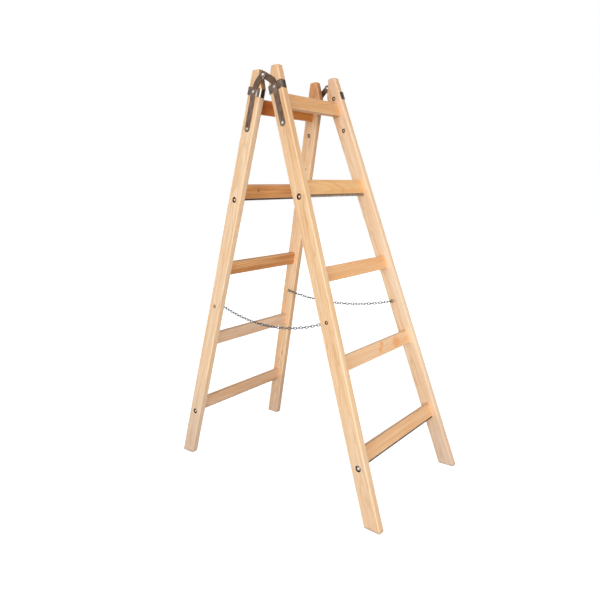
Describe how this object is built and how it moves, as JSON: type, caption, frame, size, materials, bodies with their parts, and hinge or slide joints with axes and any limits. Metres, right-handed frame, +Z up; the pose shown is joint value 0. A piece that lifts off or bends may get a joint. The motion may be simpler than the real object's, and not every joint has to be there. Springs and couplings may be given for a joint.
{
  "type": "wooden stepladder",
  "caption": "Double-sided wooden stepladder: two splayed rung halves hinged at the top by steel straps and held open by chains.",
  "frame": {"origin": "middle of the floor rectangle between the four feet, on the floor", "axes": "+Z up, X along the rungs, -Y towards the front half, which faces the viewer"},
  "size_m": [0.5214, 0.9306, 1.39],
  "materials": {
    "stile_wood": "planed pine, satin",
    "rung_wood": "planed pine, satin",
    "hinge_steel": "dark satin",
    "zinc": "bright zinc",
    "chain_steel": "plain welded steel",
    "rod_steel": "plain drawn steel"
  },
  "bodies": {
    "front_half": {"front_bolt_nuts": "zinc", "front_bolt_washers": "zinc", "front_chain_eyes": "chain_steel", "front_eye_nuts": "zinc", "front_eye_washers": "zinc", "front_left_clip": "hinge_steel", "front_left_stile": "stile_wood", "front_left_strap": "hinge_steel", "front_lower_tie_rod": "rod_steel", "front_right_clip": "hinge_steel", "front_right_stile": "stile_wood", "front_right_strap": "hinge_steel", "front_rod_nuts": "zinc", "front_rod_washers": "zinc", "front_rung_1": "rung_wood", "front_rung_2": "rung_wood", "front_rung_3": "rung_wood", "front_rung_4": "rung_wood", "front_rung_5": "rung_wood", "front_strap_bolts": "zinc", "front_upper_tie_rod": "rod_steel", "pivot_rivets": "zinc", "pivot_washers": "zinc"},
    "rear_half": {"rear_bolt_nuts": "zinc", "rear_bolt_washers": "zinc", "rear_chain_eyes": "chain_steel", "rear_eye_nuts": "zinc", "rear_eye_washers": "zinc", "rear_left_clip": "hinge_steel", "rear_left_stile": "stile_wood", "rear_left_strap": "hinge_steel", "rear_lower_tie_rod": "rod_steel", "rear_right_clip": "hinge_steel", "rear_right_stile": "stile_wood", "rear_right_strap": "hinge_steel", "rear_rod_nuts": "zinc", "rear_rod_washers": "zinc", "rear_rung_1": "rung_wood", "rear_rung_2": "rung_wood", "rear_rung_3": "rung_wood", "rear_rung_4": "rung_wood", "rear_rung_5": "rung_wood", "rear_strap_bolts": "zinc", "rear_upper_tie_rod": "rod_steel"},
    "front_left_chain_lower": {"front_left_chain_lower": "chain_steel"},
    "front_left_chain_upper": {"front_left_chain_upper": "chain_steel"},
    "front_right_chain_lower": {"front_right_chain_lower": "chain_steel"},
    "front_right_chain_upper": {"front_right_chain_upper": "chain_steel"},
    "rear_left_chain_lower": {"rear_left_chain_lower": "chain_steel"},
    "rear_left_chain_upper": {"rear_left_chain_upper": "chain_steel"},
    "rear_right_chain_lower": {"rear_right_chain_lower": "chain_steel"},
    "rear_right_chain_upper": {"rear_right_chain_upper": "chain_steel"}
  },
  "joints": [
    {"name": "fold", "type": "hinge", "parent": "front_half", "child": "rear_half", "pos_m": [0, 0, 1.36664], "axis": [1, 0, 0], "range_deg": [-32.92, 1], "deforming": ["front_left_chain_lower", "front_left_chain_upper", "front_right_chain_lower", "front_right_chain_upper", "rear_left_chain_lower", "rear_left_chain_upper", "rear_right_chain_lower", "rear_right_chain_upper"]},
    {"name": "front_left_chain_upper_swing", "type": "hinge", "parent": "front_half", "child": "front_left_chain_upper", "pos_m": [-0.1833, -0.25381, 0.60225], "axis": [1, 0, 0], "range_deg": [-84.55, 3.05]},
    {"name": "front_left_chain_lower_swing", "type": "hinge", "parent": "front_left_chain_upper", "child": "front_left_chain_lower", "pos_m": [-0.1833, -0.09689, 0.5597], "axis": [1, 0, 0], "range_deg": [-19.4, 1.07]},
    {"name": "rear_left_chain_upper_swing", "type": "hinge", "parent": "rear_half", "child": "rear_left_chain_upper", "pos_m": [-0.1833, 0.25381, 0.60225], "axis": [1, 0, 0], "range_deg": [-3.05, 84.55]},
    {"name": "rear_left_chain_lower_swing", "type": "hinge", "parent": "rear_left_chain_upper", "child": "rear_left_chain_lower", "pos_m": [-0.1833, 0.09689, 0.5597], "axis": [1, 0, 0], "range_deg": [-1.07, 19.4]},
    {"name": "front_right_chain_upper_swing", "type": "hinge", "parent": "front_half", "child": "front_right_chain_upper", "pos_m": [0.1833, -0.25359, 0.60294], "axis": [1, 0, 0], "range_deg": [-90.76, 3.24]},
    {"name": "front_right_chain_lower_swing", "type": "hinge", "parent": "front_right_chain_upper", "child": "front_right_chain_lower", "pos_m": [0.1833, -0.09566, 0.5768], "axis": [1, 0, 0], "range_deg": [-15.13, 0.94]},
    {"name": "rear_right_chain_upper_swing", "type": "hinge", "parent": "rear_half", "child": "rear_right_chain_upper", "pos_m": [0.1833, 0.25359, 0.60294], "axis": [1, 0, 0], "range_deg": [-3.24, 90.76]},
    {"name": "rear_right_chain_lower_swing", "type": "hinge", "parent": "rear_right_chain_upper", "child": "rear_right_chain_lower", "pos_m": [0.1833, 0.09566, 0.5768], "axis": [1, 0, 0], "range_deg": [-0.94, 15.13]}
  ],
  "couplings": [
    {"joint": "front_left_chain_upper_swing", "follows": "fold", "ratio": 2.5533},
    {"joint": "front_left_chain_lower_swing", "follows": "fold", "ratio": 0.574},
    {"joint": "rear_left_chain_upper_swing", "follows": "fold", "ratio": -2.5533},
    {"joint": "rear_left_chain_lower_swing", "follows": "fold", "ratio": -0.574},
    {"joint": "front_right_chain_upper_swing", "follows": "fold", "ratio": 2.7418},
    {"joint": "front_right_chain_lower_swing", "follows": "fold", "ratio": 0.4443},
    {"joint": "rear_right_chain_upper_swing", "follows": "fold", "ratio": -2.7418},
    {"joint": "rear_right_chain_lower_swing", "follows": "fold", "ratio": -0.4443}
  ]
}
